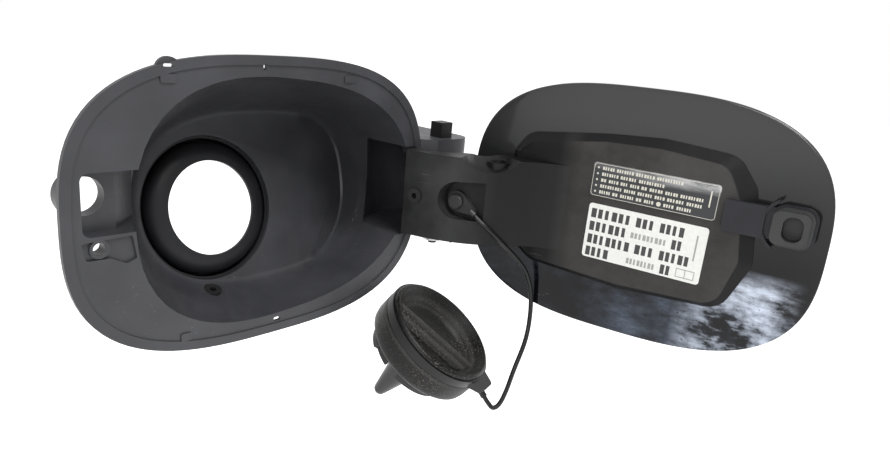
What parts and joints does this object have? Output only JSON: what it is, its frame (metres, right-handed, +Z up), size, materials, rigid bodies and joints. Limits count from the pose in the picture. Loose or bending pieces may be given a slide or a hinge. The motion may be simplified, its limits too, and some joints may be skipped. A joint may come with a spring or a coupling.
{
  "type": "fuel door housing",
  "caption": "Fuel filler pocket of a car with neck seal, gooseneck door on a sprung hinge, and the bayonet filler cap hanging on its tether",
  "frame": {"origin": "centre of the neck seal's bore, in the middle of its lip", "axes": "+Y runs into the car, square to the flange; +Z is up; +X runs from the latch to the hinge"},
  "size_m": [0.3137, 0.3155, 0.238],
  "materials": {
    "filler_pocket": "dark grey moulded plastic, fine grain",
    "neck_seal": "satin black rubber",
    "drain_grommet": "black rubber",
    "hinge_pin": "black plastic",
    "pin_clip": "bright spring steel",
    "hinge_spring": "spring steel wire",
    "door_skin": "high gloss black paint",
    "door_carrier": "black moulded plastic",
    "latch_bracket": "black moulded plastic",
    "latch_socket": "dark grey rubber",
    "caution_label": "printed film, dark",
    "fuel_label": "printed film, white",
    "tether_peg": "black plastic",
    "arm_plug": "black plastic",
    "tether_eye": "soft black plastic",
    "tether": "soft black plastic cord",
    "tether_ring": "black plastic",
    "cap_grip": "black plastic, spark grain",
    "cap_plug": "black plastic",
    "cap_seal": "black rubber",
    "cap_nose": "dark grey plastic, satin",
    "relief_spring": "spring steel wire",
    "relief_valve": "natural plastic"
  },
  "bodies": {
    "housing": {"filler_pocket": "filler_pocket", "neck_seal": "neck_seal", "drain_grommet": "drain_grommet", "hinge_pin": "hinge_pin", "pin_clip": "pin_clip", "hinge_spring": "hinge_spring"},
    "door": {"door_skin": "door_skin", "door_carrier": "door_carrier", "latch_bracket": "latch_bracket", "latch_socket": "latch_socket", "caution_label": "caution_label", "fuel_label": "fuel_label", "tether_peg": "tether_peg", "arm_plug": "arm_plug", "tether_eye": "tether_eye", "tether": "tether", "tether_ring": "tether_ring"},
    "cap": {"cap_grip": "cap_grip", "cap_plug": "cap_plug", "cap_seal": "cap_seal", "cap_nose": "cap_nose", "relief_spring": "relief_spring"},
    "valve": {"relief_valve": "relief_valve"}
  },
  "joints": [
    {"name": "door_hinge", "type": "hinge", "parent": "housing", "child": "door", "pos_m": [0.1516, -0.0388, 0.0117], "axis": [0, 0, 1], "range_deg": [-101.8, 0], "deforming": ["hinge_spring"]},
    {"name": "cap_turn", "type": "hinge", "parent": "door", "child": "cap", "pos_m": [0.1315, -0.0759, -0.0846], "axis": [0.2607, -0.5516, 0.7923], "continuous": true},
    {"name": "relief_slide", "type": "slide", "parent": "cap", "child": "valve", "axis": [-0.2607, 0.5516, -0.7923], "range_m": [0, 0.003], "stiffness_N_per_m": 300, "springref_m": -0.002, "deforming": ["relief_spring"]}
  ]
}
